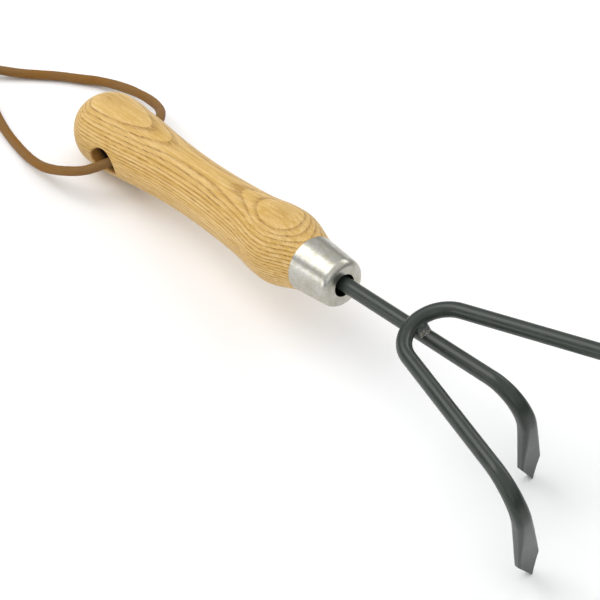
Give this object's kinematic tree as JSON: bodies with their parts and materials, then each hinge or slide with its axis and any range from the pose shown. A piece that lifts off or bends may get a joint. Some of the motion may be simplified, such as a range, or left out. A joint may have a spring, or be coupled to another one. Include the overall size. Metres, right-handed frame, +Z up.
{
  "type": "hand cultivator",
  "caption": "Hand cultivator with a turned ash handle, plated ferrule, bent round-rod tines with forged points, and a leather hanging loop.",
  "frame": {"origin": "on the surface the tool rests on, below the centre of the tool's bounding box, the leather thong left out", "axes": "+Z up from that surface, +X along the tool from the handle's butt towards the tines, +Y to the side that the tool leans away from"},
  "size_m": [0.4291, 0.0877, 0.0749],
  "materials": {
    "ash_wood": "satin, oiled",
    "plated_steel": "bright plated",
    "painted_steel": "semi-gloss dark grey-green",
    "weld_metal": "lumpy, thinly painted",
    "brown_leather": "matt, waxed"
  },
  "bodies": {
    "root": {"handle": "ash_wood", "ferrule": "plated_steel", "centre_tine": "painted_steel", "outer_tines": "painted_steel", "weld_bead": "weld_metal", "thong_near": "brown_leather", "thong_far": "brown_leather", "thong_knot": "brown_leather"}
  },
  "joints": []
}
